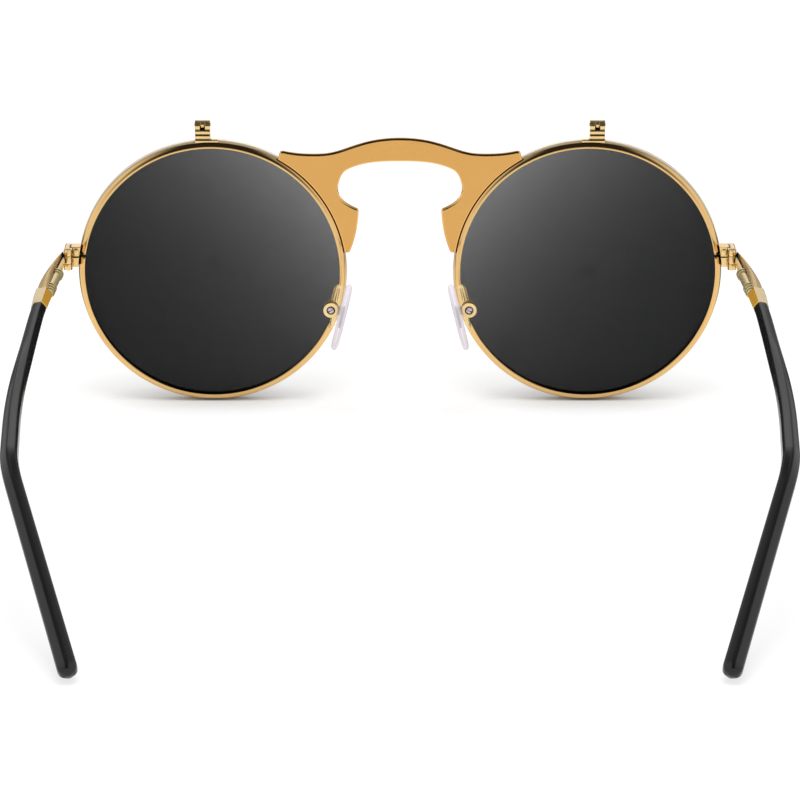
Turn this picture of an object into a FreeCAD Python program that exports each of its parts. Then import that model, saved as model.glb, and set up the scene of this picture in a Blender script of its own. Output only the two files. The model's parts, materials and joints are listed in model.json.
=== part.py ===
import FreeCAD, Part
import math
import os

os.makedirs("parts", exist_ok=True)

# Round flip-up sunglasses in millimetres, drawn as they are worn.
# X points to the wearer's right, Y forward and Z up. The back of the rims is at Y = 0 and
# the lens centres are at Z = 0. The right half is drawn there and mirrored to the left.
# Last, the whole part leans forward until its rims and temple tips stand on Z = 0.

# Rims and clear lenses
rim_outer_radius = 26.0
rim_wall = 1.15
rim_depth = 1.4
rim_corner = 0.6
rim_split = 0.24
bridge_gap = 21.1
groove_depth = 0.45
groove_width = 0.8
lens_fit = 0.05
lens_thickness = 1.0
lens_curve_radius = 150.0

# Flip-up rims and dark lenses
flip_gap = 0.3
flip_rim_step = 0.15
flip_rim_wall = 0.75
flip_rim_depth = 1.2
flip_rim_corner = 0.42
flip_groove_depth = 0.3
flip_groove_width = 0.6
dark_lens_thickness = 0.9

# Bridge plate between the rims
bridge_thickness = 1.2
bridge_edge_round = 0.4
bridge_corner = 0.45

# Flip hinge standing on top of each rim
tower_offset = 1.5
tower_width = 2.9
tower_height = 3.25
tower_leaf = 0.9
tower_leaf_gap = 0.5
tower_knuckle_radius = 0.85
tower_knuckle_gap = 0.12
tower_knuckle_play = 0.05
tower_pin_radius = 0.4
tower_pin_fit = 0.03
tower_pin_head = 0.12
tower_groove_radius = 0.22
tower_groove_pitch = 0.92
saddle_width = 3.9
saddle_offset = 0.45
saddle_height = 0.45

# Rim lock, end piece and temple hinge
hinge_outset = 1.75
hinge_setback = 3.2
hinge_height = 3.6
hinge_stack = 4.0
hinge_knuckle_radius = 0.8
hinge_eye_height = 1.5
hinge_play = 0.06
hinge_gap = 0.15
hinge_screw_radius = 0.4
hinge_screw_fit = 0.04
hinge_screw_head_radius = 0.6
hinge_screw_head_height = 0.4
screw_slot_width = 0.28
screw_slot_depth = 0.22
lock_reach = 1.45
lock_back = 1.6
lock_inset = 0.1
lock_boss_offset = 0.35
lock_boss_radius = 0.6
lock_boss_height = 0.25
lock_screw_radius = 0.4
lock_screw_fit = 0.03
lock_screw_head_radius = 0.65
lock_screw_head_height = 0.5
small_round = 0.25

# Spring hinge inside the temple's metal front
temple_splay = 5.4
temple_slope = 5.9
slider_offset = 0.62
neck_width = 0.6
neck_height = 1.1
neck_fit = 0.06
housing_start = 6.9
housing_length = 11.2
housing_radius = 0.95
housing_wall = 0.28
housing_ring = 0.13
housing_ring_width = 0.55
housing_face = 0.9
plug_length = 1.6
plug_fit = 0.02
slider_rod_radius = 0.26
slider_stop_radius = 0.55
slider_stop_length = 0.6
spring_wire = 0.2
spring_fit = 0.06

# Temple bar, ferrule, core wire and sleeve
bar_offset = 1.44
bar_lip = 0.4
bar_lip_reach = 1.0
bar_lip_height = 2.4
bar_clearance = 0.16
bar_root_length = 3.2
bar_root_thickness = 0.8
bar_root_height = 3.0
bar_root_clearance = 0.35
bar_swell_length = 9.5
bar_swell_thickness = 1.9
bar_swell_height = 3.1
bar_embed = 0.67
bar_end_radius = 1.25
bar_shank_radius = 1.0
bar_shank_fit = 0.02
bar_housing_fit = 0.02
ferrule_gap = 0.4
ferrule_length = 6.6
ferrule_splay = 2.0
ferrule_across_front = 3.3
ferrule_across_back = 2.75
ferrule_edge = 0.18
hex_roll = 9.0
sleeve_lead = 4.6
sleeve_gap = 0.03
sleeve_across_front = 2.65
sleeve_across_back = 3.4
sleeve_front_splay = 0.7
sleeve_front_run = 38.1
sleeve_rear_run = 27.2
sleeve_tip_run = 46.1
sleeve_tip_round = 1.25
sleeve_twist_start = 15.0
sleeve_twist_length = 47.0
sleeve_twist = -27.0
rear_inward = 3.9
tip_inward = 18.9
tip_drop = 29.6
front_bend_radius = 150.0
bow_radius = 300.0
ear_bend_radius = 20.0
core_radius = 0.6
core_fit = 0.03
core_socket = 3.0
core_stop = 14.0

# Nose pads and their arms
arm_radius = 0.4
arm_root_angle = 23.7
arm_root_back = 1.3
arm_top_angle = 4.3
arm_top_inset = 0.95
arm_top_back = 2.0
arm_loop = 1.7
arm_bend_radius = 0.75
arm_corner_radius = 0.6
arm_end_inset = 0.2
pad_screw_angle = 13.1
pad_screw_inset = 2.19
pad_screw_back = 6.5
box_radius = 1.45
box_length = 2.4
box_wall = 0.55
box_play = 0.08
pad_screw_radius = 0.4
pad_screw_fit = 0.04
pad_screw_head_radius = 0.8
pad_screw_head_height = 0.35
tongue_thickness = 0.9
tongue_radius = 0.72
pad_standoff = 2.31
pad_lift = 0.7
pad_length = 13.4
pad_width = 7.0
pad_thickness = 1.6
pad_tilt = 13.7
pad_back = 1.5
pad_edge = 0.6
insert_length = 3.6
insert_width = 3.0
insert_thickness = 0.5
insert_fit = 0.02

# One overrun carries every cutting tool past the face that it leaves
overrun = 1.0

# Distance of a hexagon's corners from its middle, as a share of the width across its flats
hexagon_corner_share = 1 / math.sqrt(3)

# Rounding of the pad's outline, as a share of its width
pad_round_share = 0.457

# The bridge plate's outline. Heights are shares of the rim's radius. Widths of the top edge, the
# tips and the outer feet are shares of the lens centre's distance from the middle, and widths of
# the inner feet, the lobes, the barbs and the keyhole are shares of half the bridge gap.
bridge_top_shares = ((0, 1.033), (0.155, 1.01), (0.268, 0.962), (0.363, 0.921),
                     (0.457, 0.911), (0.551, 0.918), (0.617, 0.934))
bridge_tip_shares = ((0.634, 0.928), (0.656, 0.827))
bridge_outer_foot_share = (0.342, 0.152)
bridge_inner_foot_share = (0.9285, 0.152)
bridge_lobe_share = (0.8038, 0.317)
bridge_barb_share = (0.7587, 0.486)
bridge_mount_share = 0.94
bridge_keyhole_shares = ((0.9077, 0.516), (1.0636, 0.565), (1.1294, 0.62), (1.1121, 0.702),
                         (1.0289, 0.77), (0.8626, 0.809), (0.6028, 0.839), (0.2737, 0.853), (0, 0.855))

# Places that follow from the sizes above
half_spacing = bridge_gap / 2 + rim_outer_radius
rim_inner_radius = rim_outer_radius - rim_wall
flip_outer_radius = rim_outer_radius - flip_rim_step
flip_back = rim_depth + flip_gap
flip_front = flip_back + flip_rim_depth
tower_x = half_spacing + tower_offset
tower_axis_y = rim_depth + flip_gap / 2
tower_axis_z = rim_outer_radius + tower_height
hinge_x = half_spacing + rim_outer_radius + hinge_outset
hinge_y = -hinge_setback
lock_outer_x = half_spacing + rim_outer_radius + lock_reach
housing_bore = housing_radius - housing_wall
ferrule_start = housing_start + housing_length + ferrule_gap


def point(x, y, z):
    return FreeCAD.Vector(x, y, z)


def unit(vector):
    length = vector.Length
    return FreeCAD.Vector(vector.x / length, vector.y / length, vector.z / length)


lens_centre = point(half_spacing, 0, 0)
hinge_centre = point(hinge_x, hinge_y, hinge_height)
along_x = point(1, 0, 0)
along_y = point(0, 1, 0)
along_z = point(0, 0, 1)


def heading(outward, drop):
    """Direction of a temple run from its angle in plan and its angle below level."""
    flat = math.cos(math.radians(drop))
    return point(math.sin(math.radians(outward)) * flat,
                 -math.cos(math.radians(outward)) * flat,
                 -math.sin(math.radians(drop)))


temple_way = heading(temple_splay, temple_slope)
temple_outward = point(math.cos(math.radians(temple_splay)), math.sin(math.radians(temple_splay)), 0)
temple_up = temple_outward.cross(temple_way)
ferrule_way = heading(ferrule_splay, temple_slope)


def on_temple(distance, outward):
    """Point on the way from the hinge axis along the temple, and outward from there."""
    return hinge_centre + temple_way * distance + temple_outward * outward


def on_barrel(distance):
    """Point on the spring housing's axis, which passes outside the hinge axis."""
    return on_temple(distance, slider_offset)


def on_ferrule(distance):
    """Point on the ferrule's own axis, which starts at the back of the temple bar."""
    return on_temple(ferrule_start, bar_offset) + ferrule_way * distance


def box(low, high):
    return Part.makeBox(high.x - low.x, high.y - low.y, high.z - low.z, low)


def rod(start, way, radius, length):
    return Part.makeCylinder(radius, length, start, way)


def bend(points, radii, index):
    """Where the arc at one corner of a route starts and ends, and its centre."""
    corner = points[index]
    back = unit(points[index - 1] - corner)
    ahead = unit(points[(index + 1) % len(points)] - corner)
    half = back.getAngle(ahead) / 2
    setback = radii[index] / math.tan(half)
    centre = corner + unit(back + ahead) * (radii[index] / math.sin(half))
    return corner + back * setback, corner + ahead * setback, centre


def between(first, last, share):
    """Turn one vector towards another of the same length by a share of the angle."""
    angle = first.getAngle(last)
    first_share = math.sin((1 - share) * angle) / math.sin(angle)
    last_share = math.sin(share * angle) / math.sin(angle)
    return first * first_share + last * last_share


def rounded_path(points, radii, closed):
    """Straight runs joined by tangent arcs, one radius for each point."""
    count = len(points)
    entries = list(points)
    exits = list(points)
    edges = []
    for index in range(count):
        if radii[index]:
            entries[index], exits[index], centre = bend(points, radii, index)
            middle = centre + between(entries[index] - centre, exits[index] - centre, 1 / 2)
            edges.append(Part.Arc(entries[index], middle, exits[index]).toShape())
    runs = count if closed else count - 1
    for index in range(runs):
        edges.append(Part.makeLine(exits[index], entries[(index + 1) % count]))
    return Part.Wire(Part.__sortEdges__(edges))


def tube(path, start, way, radius):
    """Round bar along a path of straight runs and tangent arcs."""
    section = Part.Wire(Part.makeCircle(radius, start, way))
    return path.makePipeShell([section], True, False)


def edges_on_y(shape, level):
    """Edges that lie in one plane across the front."""
    found = []
    for edge in shape.Edges:
        limits = edge.BoundBox
        if abs(limits.YMin - level) < bridge_edge_round / 2 and limits.YLength < bridge_edge_round / 2:
            found.append(edge)
    return found


def edges_along(shape, way):
    """Straight edges that run along a direction."""
    found = []
    for edge in shape.Edges:
        if edge.Curve.TypeId == "Part::GeomLine":
            tangent = unit(edge.tangentAt(edge.FirstParameter))
            if tangent.cross(way).Length < 0.01:
                found.append(edge)
    return found


def rim_ring(back, depth, outer, wall, corner, groove_in, groove_wide):
    """Rim wire turned round the lens axis, with a V groove inside for the lens."""
    inner = outer - wall
    front = back + depth
    middle = back + depth / 2
    outline = [(inner, back), (outer, back), (outer, front), (inner, front),
               (inner, middle + groove_wide / 2), (inner + groove_in, middle),
               (inner, middle - groove_wide / 2)]
    inner_round = corner / 3
    rounds = [inner_round, corner, corner, inner_round, 0, 0, 0]
    corners = [lens_centre + point(radius, level, 0) for radius, level in outline]
    face = Part.Face(rounded_path(corners, rounds, True))
    return face.revolve(lens_centre, along_y, 360)


def lens_disc(middle, thickness, opening, groove_in, groove_wide):
    """Curved lens whose bevelled edge sits in the rim's groove."""
    edge_radius = opening - lens_fit
    peak_radius = opening + groove_in - lens_fit
    bevel = min(groove_wide, thickness) / 2
    rise = lens_curve_radius - math.sqrt(lens_curve_radius ** 2 - edge_radius ** 2)
    half_rise = lens_curve_radius - math.sqrt(lens_curve_radius ** 2 - (edge_radius / 2) ** 2)
    back = middle - thickness / 2
    front = middle + thickness / 2
    back_edge = lens_centre + point(edge_radius, back, 0)
    back_half = lens_centre + point(edge_radius / 2, back + rise - half_rise, 0)
    back_pole = lens_centre + point(0, back + rise, 0)
    front_edge = lens_centre + point(edge_radius, front, 0)
    front_half = lens_centre + point(edge_radius / 2, front + rise - half_rise, 0)
    front_pole = lens_centre + point(0, front + rise, 0)
    bevel_back = lens_centre + point(edge_radius, middle - bevel, 0)
    bevel_front = lens_centre + point(edge_radius, middle + bevel, 0)
    peak = lens_centre + point(peak_radius, middle, 0)
    edges = [Part.Arc(back_pole, back_half, back_edge).toShape(),
             Part.makeLine(bevel_back, peak),
             Part.makeLine(peak, bevel_front),
             Part.Arc(front_edge, front_half, front_pole).toShape(),
             Part.makeLine(front_pole, back_pole)]
    if thickness > groove_wide:
        edges.append(Part.makeLine(back_edge, bevel_back))
        edges.append(Part.makeLine(bevel_front, front_edge))
    face = Part.Face(Part.Wire(Part.__sortEdges__(edges)))
    return face.revolve(lens_centre, along_y, 360)


def rim_cylinder(radius):
    """Everything inside a rim's outer surface, for trimming what is brazed to it."""
    start = lens_centre - along_y * (hinge_setback + overrun)
    return rod(start, along_y, radius, hinge_setback + flip_front + 2 * overrun)


def base_rim():
    ring = rim_ring(0, rim_depth, rim_outer_radius, rim_wall, rim_corner, groove_depth, groove_width)
    low = point(half_spacing, -overrun, hinge_height - rim_split / 2)
    high = point(half_spacing + rim_outer_radius + overrun, rim_depth + overrun,
                 hinge_height + rim_split / 2)
    return ring.cut(box(low, high))


def flip_rim():
    return rim_ring(flip_back, flip_rim_depth, flip_outer_radius, flip_rim_wall, flip_rim_corner,
                    flip_groove_depth, flip_groove_width)


def clear_lens():
    return lens_disc(rim_depth / 2, lens_thickness, rim_inner_radius, groove_depth, groove_width)


def dark_lens():
    return lens_disc(flip_back + flip_rim_depth / 2, dark_lens_thickness, flip_outer_radius - flip_rim_wall,
                     flip_groove_depth, flip_groove_width)


def bridge_plate():
    """Flat stamped plate with a keyhole for the nose, brazed between the two rims."""
    back = (rim_depth - bridge_thickness) / 2

    def place(share):
        return point(share[0] * half_spacing, back, share[1] * rim_outer_radius)

    def place_inside(share):
        return point(share[0] * bridge_gap / 2, back, share[1] * rim_outer_radius)

    def mirror(corner):
        return point(-corner.x, corner.y, corner.z)

    def spline(half):
        left = [mirror(corner) for corner in half]
        curve = Part.BSplineCurve()
        curve.interpolate(left[::-1] + half[1:])
        return curve.toShape()

    top = [place(share) for share in bridge_top_shares]
    barb = place_inside(bridge_barb_share)
    keyhole = [place_inside(share) for share in bridge_keyhole_shares][::-1] + [barb]
    lobe = place_inside(bridge_lobe_share)
    tips = [place(share) for share in bridge_tip_shares]
    feet = [place(bridge_outer_foot_share), place_inside(bridge_inner_foot_share)]
    side = [top[-1]] + tips + feet
    edges = [spline(top), spline(keyhole)]
    for turn in (lambda corner: corner, mirror):
        corners = [turn(corner) for corner in side]
        for first, second in zip(corners, corners[1:]):
            edges.append(Part.makeLine(first, second))
        edges.append(Part.Arc(corners[-1], turn(lobe), turn(barb)).toShape())
    face = Part.Face(Part.Wire(Part.__sortEdges__(edges)))
    plate = face.extrude(along_y * bridge_thickness)
    trim = rim_cylinder(rim_outer_radius)
    plate = plate.cut(trim).cut(trim.mirror(point(0, 0, 0), along_x))
    rounded = [side[1], side[-1], barb]
    rounded = rounded + [mirror(corner) for corner in rounded]
    corners = []
    for edge in edges_along(plate, along_y):
        middle = edge.CenterOfMass
        for corner in rounded:
            if math.hypot(middle.x - corner.x, middle.z - corner.z) < bridge_corner:
                corners.append(edge)
    plate = plate.makeFillet(bridge_corner, corners)
    rims = edges_on_y(plate, back) + edges_on_y(plate, back + bridge_thickness)
    return plate.makeFillet(bridge_edge_round, rims)


def tower_span(low_share, high_share):
    """X limits of a slice of the flip hinge, as shares of its width."""
    left = tower_x - tower_width / 2
    return left + tower_width * low_share, left + tower_width * high_share


def tower_leaf_solid(back, foot, rim_radius, ears, width_low, width_high):
    """Upright hinge leaf on a rim, with its knuckles at the top."""
    shoulder = tower_axis_z - tower_knuckle_radius - tower_knuckle_gap
    front = back + tower_leaf
    leaf = box(point(tower_x - tower_width / 2, back, foot),
               point(tower_x + tower_width / 2, front, shoulder))
    for low, high in ears:
        ear = box(point(low, back, shoulder - tower_knuckle_gap), point(high, front, tower_axis_z))
        knuckle = rod(point(low, tower_axis_y, tower_axis_z), along_x, tower_knuckle_radius, high - low)
        leaf = leaf.fuse(ear).fuse(knuckle)
    saddle = box(point(width_low, back, foot), point(width_high, front, rim_outer_radius + saddle_height))
    leaf = leaf.fuse(saddle).cut(rim_cylinder(rim_radius))
    hole_start = point(tower_x - tower_width, tower_axis_y, tower_axis_z)
    leaf = leaf.cut(rod(hole_start, along_x, tower_pin_radius + tower_pin_fit, 2 * tower_width))
    return leaf.removeSplitter()


def tower_ears(outer):
    third = 1 / 3
    play = tower_knuckle_play / 2
    first_low, first_high = tower_span(0, third)
    last_low, last_high = tower_span(1 - third, 1)
    if outer:
        return ((first_low, first_high - play), (last_low + play, last_high))
    return ((first_high + play, last_low - play),)


def flip_base_leaf():
    """Leaf brazed on the fixed rim, with two knuckles and grooves across its back."""
    back = tower_axis_y - tower_leaf_gap / 2 - tower_leaf
    foot = rim_outer_radius - rim_wall
    low = half_spacing + saddle_offset - saddle_width / 2
    leaf = tower_leaf_solid(back, foot, rim_outer_radius, tower_ears(True), low, low + saddle_width)
    for step in (1, 2, 3):
        start = point(tower_x - tower_width, back, tower_axis_z - step * tower_groove_pitch)
        leaf = leaf.cut(rod(start, along_x, tower_groove_radius, 2 * tower_width))
    return leaf


def flip_leaf():
    """Leaf brazed on the flip-up rim, with the middle knuckle."""
    back = tower_axis_y + tower_leaf_gap / 2
    foot = flip_outer_radius - flip_rim_wall
    low = tower_x - tower_width / 2
    return tower_leaf_solid(back, foot, flip_outer_radius, tower_ears(False), low, low + tower_width)


def flip_pin():
    start = point(tower_x - tower_width / 2 - tower_pin_head, tower_axis_y, tower_axis_z)
    pin = rod(start, along_x, tower_pin_radius, tower_width + 2 * tower_pin_head)
    return pin.makeChamfer(tower_pin_head, [pin.Edges[0], pin.Edges[2]])


def lock_block(low, high):
    """Half of the rim lock, fitted to the rim's outer surface."""
    block = box(point(half_spacing + rim_inner_radius - overrun, -lock_back, low),
                point(lock_outer_x, rim_depth - lock_inset, high))
    return block.cut(rim_cylinder(rim_outer_radius))


lock_screw_x = half_spacing + rim_outer_radius + lock_reach / 2
lock_screw_y = -lock_back / 2
lock_top = hinge_height + hinge_stack / 2
lock_bottom = hinge_height - hinge_stack / 2


def rim_lock_upper():
    block = lock_block(hinge_height + rim_split / 2, lock_top)
    tops = [edge for edge in edges_along(block, along_y) if lock_top - edge.CenterOfMass.z < small_round]
    outer = max(tops, key=lambda edge: edge.CenterOfMass.x)
    block = block.makeFillet(small_round, [outer])
    boss_x = half_spacing + rim_outer_radius + lock_boss_offset
    boss = rod(point(boss_x, -lock_back - lock_boss_height, hinge_height + hinge_stack / 4), along_y,
               lock_boss_radius, lock_boss_height)
    hole = rod(point(lock_screw_x, lock_screw_y, hinge_height), along_z,
               lock_screw_radius + lock_screw_fit, hinge_stack / 4)
    return block.fuse(boss).cut(hole)


def rim_lock_lower():
    block = lock_block(lock_bottom, hinge_height - rim_split / 2)
    hole = rod(point(lock_screw_x, lock_screw_y, lock_bottom - overrun), along_z,
               lock_screw_radius + lock_screw_fit, hinge_stack / 2 + overrun)
    seat = rod(point(lock_screw_x, lock_screw_y, lock_bottom - overrun), along_z,
               lock_screw_head_radius + lock_screw_fit, lock_screw_head_height + overrun)
    return block.cut(hole).cut(seat)


def slot_cut(centre, way, across, radius):
    """Screwdriver slot for a screw head whose flat end is at the centre, facing along way."""
    side = way.cross(across)
    corner = centre - way * screw_slot_depth - across * (radius + overrun) - side * (screw_slot_width / 2)
    flat = Part.makePolygon([corner, corner + across * 2 * (radius + overrun),
                             corner + across * 2 * (radius + overrun) + side * screw_slot_width,
                             corner + side * screw_slot_width, corner])
    return Part.Face(flat).extrude(way * (screw_slot_depth + overrun))


def screw(head_end, way, head_radius, head_height, shank_radius, length):
    """Slotted screw: way points out of the head."""
    head = rod(head_end - way * head_height, way, head_radius, head_height)
    shank = rod(head_end - way * length, way, shank_radius, length)
    across = along_x
    return head.fuse(shank).cut(slot_cut(head_end, way, across, head_radius)).removeSplitter()


def rim_lock_screw():
    length = hinge_stack * 3 / 4 - lock_screw_fit
    head_end = point(lock_screw_x, lock_screw_y, lock_bottom)
    return screw(head_end, point(0, 0, -1), lock_screw_head_radius, lock_screw_head_height,
                 lock_screw_radius, length)


def knuckle_levels():
    """Heights of the end piece's two knuckles, each side of the slider's eye."""
    eye_low = hinge_height - hinge_eye_height / 2 - hinge_play
    eye_high = hinge_height + hinge_eye_height / 2 + hinge_play
    return ((lock_bottom, eye_low), (eye_high, lock_top))


def end_piece():
    """Block brazed on the rim lock, with the two outer knuckles of the temple hinge."""
    back = hinge_y + hinge_knuckle_radius + hinge_gap
    body = box(point(lock_outer_x, back, lock_bottom),
               point(hinge_x + hinge_knuckle_radius, rim_depth - lock_inset, lock_top))
    body = body.makeFillet(small_round, edges_along(body, along_y))
    for low, high in knuckle_levels():
        web = box(point(hinge_x - hinge_knuckle_radius, hinge_y, low),
                  point(hinge_x + hinge_knuckle_radius, back + small_round, high))
        web = web.cut(box(point(half_spacing, back, low - overrun),
                          point(lock_outer_x, back + small_round + overrun, high + overrun)))
        knuckle = rod(point(hinge_x, hinge_y, low), along_z, hinge_knuckle_radius, high - low)
        body = body.fuse(web).fuse(knuckle)
    hole = rod(point(hinge_x, hinge_y, lock_bottom - overrun), along_z,
               hinge_screw_radius + hinge_screw_fit / 2, hinge_stack + 2 * overrun)
    seat = rod(point(hinge_x, hinge_y, lock_top - hinge_screw_head_height), along_z,
               hinge_screw_head_radius + hinge_screw_fit, hinge_screw_head_height + overrun)
    return body.cut(hole).cut(seat).removeSplitter()


def hinge_screw():
    head_end = point(hinge_x, hinge_y, lock_top)
    return screw(head_end, along_z, hinge_screw_head_radius, hinge_screw_head_height,
                 hinge_screw_radius, hinge_stack)


stop_front = housing_start + housing_length - plug_length - spring_fit - slider_stop_length
spring_front = housing_start + housing_face + spring_fit


def temple_block(first, last, width, height):
    """Straight rectangular bar on the spring housing's axis."""
    corner = on_temple(first, slider_offset - width / 2) - temple_up * (height / 2)
    flat = Part.makePolygon([corner, corner + temple_outward * width,
                             corner + temple_outward * width + temple_up * height,
                             corner + temple_up * height, corner])
    return Part.Face(flat).extrude(temple_way * (last - first))


def hinge_slider():
    """Middle knuckle, neck and rod of the spring hinge."""
    eye_low = hinge_height - hinge_eye_height / 2
    eye = rod(point(hinge_x, hinge_y, eye_low), along_z, hinge_knuckle_radius, hinge_eye_height)
    neck = temple_block(0, housing_start + housing_face, neck_width, neck_height)
    stem = rod(on_barrel(housing_start), temple_way, slider_rod_radius, stop_front - housing_start)
    hole = rod(point(hinge_x, hinge_y, eye_low - overrun), along_z,
               hinge_screw_radius + hinge_screw_fit, hinge_eye_height + 2 * overrun)
    return eye.fuse(neck).fuse(stem).cut(hole).removeSplitter()


def slider_stop():
    return rod(on_barrel(stop_front), temple_way, slider_stop_radius, slider_stop_length)


def hinge_spring():
    """Closed coil spring round the slider's rod, as one plain sleeve."""
    outer = slider_stop_radius
    inner = outer - spring_wire
    length = stop_front - spring_fit - spring_front
    coil = rod(on_barrel(spring_front), temple_way, outer, length)
    return coil.cut(rod(on_barrel(spring_front - overrun), temple_way, inner, length + 2 * overrun))


def housing_outside(extra):
    """Barrel with a raised ring at each end."""
    barrel = rod(on_barrel(housing_start), temple_way, housing_radius + extra, housing_length)
    for first in (housing_start + housing_ring_width / 2,
                  housing_start + housing_length - housing_ring_width * 3 / 2,
                  housing_start + housing_length - housing_ring_width * 3):
        barrel = barrel.fuse(rod(on_barrel(first), temple_way, housing_radius + housing_ring + extra,
                                 housing_ring_width))
    return barrel


def spring_housing():
    bore = rod(on_barrel(housing_start + housing_face), temple_way, housing_bore, housing_length)
    mouth = temple_block(housing_start - overrun, housing_start + housing_face + overrun,
                         neck_width + 2 * neck_fit, neck_height + 2 * neck_fit)
    return housing_outside(0).cut(bore).cut(mouth).removeSplitter()


def housing_plug():
    start = housing_start + housing_length - plug_length
    return rod(on_barrel(start), temple_way, housing_bore - plug_fit, plug_length)


def oval(centre, way, thickness, height):
    """Upright oval section of the temple bar, square to a direction."""
    side = unit(along_z.cross(way))
    tall = side.cross(way) * (height / 2)
    wide = side * (thickness / 2)
    stretch = FreeCAD.Matrix(tall.x, wide.x, way.x, centre.x,
                             tall.y, wide.y, way.y, centre.y,
                             tall.z, wide.z, way.z, centre.z,
                             0, 0, 0, 1)
    unit_circle = Part.makeCircle(1, point(0, 0, 0), along_z)
    return Part.Wire(unit_circle.transformGeometry(stretch).Edges)


def temple_bar():
    """Cast bar outside the spring housing, which ends in the shank that holds the ferrule."""
    lip = on_temple(-bar_lip_reach, hinge_knuckle_radius + bar_clearance + bar_lip / 2)
    root = on_temple(bar_root_length,
                     hinge_knuckle_radius + bar_root_clearance + bar_root_thickness / 2)
    swell = on_temple(bar_swell_length,
                      slider_offset + housing_radius - bar_embed + bar_swell_thickness / 2)
    sections = [oval(lip, temple_way, bar_lip, bar_lip_height),
                oval(root, temple_way, bar_root_thickness, bar_root_height),
                oval(swell, temple_way, bar_swell_thickness, bar_swell_height),
                oval(on_ferrule(0), ferrule_way, 2 * bar_end_radius, 2 * bar_end_radius)]
    bar = Part.makeLoft(sections, True, False)
    bar = bar.cut(housing_outside(bar_housing_fit))
    shank = rod(on_ferrule(0), ferrule_way, bar_shank_radius, ferrule_length)
    socket = rod(on_ferrule(ferrule_length - core_socket), ferrule_way, core_radius + core_fit,
                 core_socket + overrun)
    return bar.fuse(shank).cut(socket).removeSplitter()


def hexagon(centre, way, across, roll):
    """Six-sided section square to a run, with one flat near the top."""
    side = unit(way.cross(along_z))
    up = side.cross(way)
    corner_radius = across * hexagon_corner_share
    corners = []
    for step in range(6):
        angle = math.radians(60 * step + roll)
        spoke = side * math.cos(angle) + up * math.sin(angle)
        corners.append(centre + spoke * corner_radius)
    return Part.makePolygon(corners + corners[:1])


def ferrule():
    """Six-sided collar over the bar's shank, a little slimmer at its back."""
    sections = [hexagon(on_ferrule(0), ferrule_way, ferrule_across_front, hex_roll),
                hexagon(on_ferrule(ferrule_length), ferrule_way, ferrule_across_back, hex_roll)]
    prism = Part.makeLoft(sections, True, True)
    ends = []
    for edge in prism.Edges:
        tangent = unit(edge.tangentAt(edge.FirstParameter))
        if abs(tangent.dot(ferrule_way)) < 0.5:
            ends.append(edge)
    prism = prism.makeChamfer(ferrule_edge, ends)
    bore = rod(on_ferrule(-overrun), ferrule_way, bar_shank_radius + bar_shank_fit,
               ferrule_length + 2 * overrun)
    return prism.cut(bore)


def sleeve_points():
    """Corners of the sleeve's route: ferrule, front bend, bow, ear bend and tip."""
    start = on_ferrule(ferrule_length + sleeve_gap)
    lead = on_ferrule(ferrule_length + sleeve_lead)
    bow = lead + heading(sleeve_front_splay, temple_slope) * sleeve_front_run
    ear = bow + heading(-rear_inward, temple_slope) * sleeve_rear_run
    tip = ear + heading(-tip_inward, tip_drop) * sleeve_tip_run
    return [start, lead, bow, ear, tip]


sleeve_radii = [0, front_bend_radius, bow_radius, ear_bend_radius, 0]
bend_steps = 8


def sleeve_stations():
    """Places and headings along the route, closer together in its bends."""
    corners = sleeve_points()
    stations = []
    leave = corners[0]
    for index in range(1, len(corners) - 1):
        enter, exit_point, centre = bend(corners, sleeve_radii, index)
        way_in = unit(enter - leave)
        way_out = unit(corners[index + 1] - corners[index])
        if index == 1:
            stations.append((leave, way_in))
        for step in range(bend_steps + 1):
            share = step / bend_steps
            stations.append((centre + between(enter - centre, exit_point - centre, share),
                             between(way_in, way_out, share)))
        leave = exit_point
    stations.append((corners[-1], way_out))
    return stations


def temple_sleeve():
    """Six-sided plastic sleeve over the core wire, bent down behind the ear."""
    stations = sleeve_stations()
    walked = [0]
    for first, second in zip(stations, stations[1:]):
        walked.append(walked[-1] + (second[0] - first[0]).Length)
    sections = []
    for (place, way), distance in zip(stations, walked):
        across = sleeve_across_front + (sleeve_across_back - sleeve_across_front) * distance / walked[-1]
        turned = min(max((distance - sleeve_twist_start) / sleeve_twist_length, 0), 1)
        sections.append(hexagon(place, way, across, hex_roll + sleeve_twist * turned))
    sleeve = Part.makeLoft(sections, True, True)
    end, way = stations[-1]
    corner_radius = sleeve_across_back * hexagon_corner_share
    nose = rod(end - way * 2 * corner_radius, way, corner_radius, 2 * corner_radius)
    nose_rim = [edge for edge in nose.Edges if abs((edge.CenterOfMass - end).dot(way)) < sleeve_gap]
    nose = nose.makeFillet(sleeve_tip_round, nose_rim)
    around = rod(end - way * corner_radius, way, 2 * corner_radius, corner_radius + overrun)
    sleeve = sleeve.cut(around.cut(nose))
    start, first_way = stations[0]
    return sleeve.cut(core_bar(start - first_way * overrun, core_radius + core_fit, core_stop - core_fit))


def core_bar(start, radius, stop):
    """Round wire along the sleeve's route, ending short of the tip."""
    corners = sleeve_points()
    corners[0] = start
    corners[-1] = corners[-1] - unit(corners[-1] - corners[-2]) * stop
    path = rounded_path(corners, sleeve_radii, False)
    return tube(path, start, ferrule_way, radius)


def core_wire():
    return core_bar(on_ferrule(ferrule_length - core_socket), core_radius, core_stop)


def below_level(radius, angle, back):
    """Place on the nose side of a lens, below its middle by an angle, behind the rims."""
    turn = math.radians(angle)
    return lens_centre + point(-radius * math.cos(turn), -back, -radius * math.sin(turn))


pad_pivot = below_level(rim_outer_radius - pad_screw_inset, pad_screw_angle, pad_screw_back)


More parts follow.
